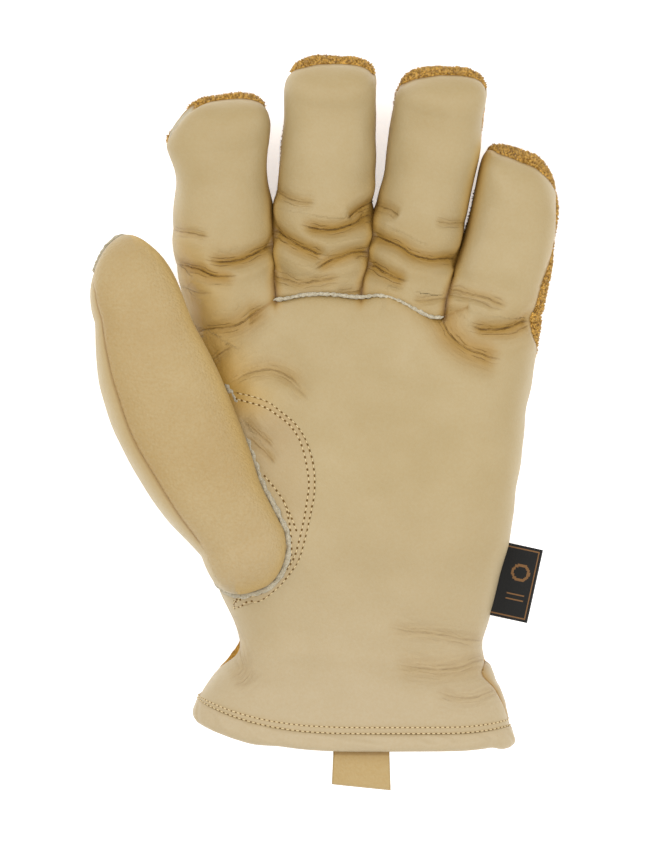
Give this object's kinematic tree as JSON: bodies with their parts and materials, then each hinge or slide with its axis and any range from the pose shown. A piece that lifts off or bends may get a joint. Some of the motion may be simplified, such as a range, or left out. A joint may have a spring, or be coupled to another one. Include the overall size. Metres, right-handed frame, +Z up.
{
  "type": "insulated leather work glove",
  "caption": "Padded leather work glove for the left hand, cream grain palm and suede back, elastic waist and flared rolled cuff, lying palm up",
  "frame": {"origin": "on the surface that the glove rests on, under the middle of the back of the hand", "axes": "+Y to the fingertips, +X to the little finger's side, +Z up out of the palm"},
  "size_m": [0.1796, 0.2806, 0.0655],
  "materials": {
    "cream_leather": "smooth full grain, soft sheen",
    "patch_leather": "smooth full grain, soft sheen",
    "hem_leather": "smooth full grain, soft sheen",
    "suede": "napped, matt",
    "raw_edge": "rough cut edge, matt",
    "woven_tape": "woven, low sheen"
  },
  "bodies": {
    "root": {"palm_panel": "cream_leather", "middle_finger_front": "cream_leather", "ring_finger_front": "cream_leather", "back_panel": "suede", "index_back": "suede", "middle_back": "suede", "ring_back": "suede", "little_back": "suede", "cuff_back": "cream_leather", "thumb_front": "cream_leather", "thumb_back": "cream_leather", "thumb_patch": "patch_leather", "finger_welt": "raw_edge", "thumb_welt": "raw_edge", "cuff_hem": "hem_leather", "side_label": "woven_tape", "hang_tab": "hem_leather"}
  },
  "joints": []
}
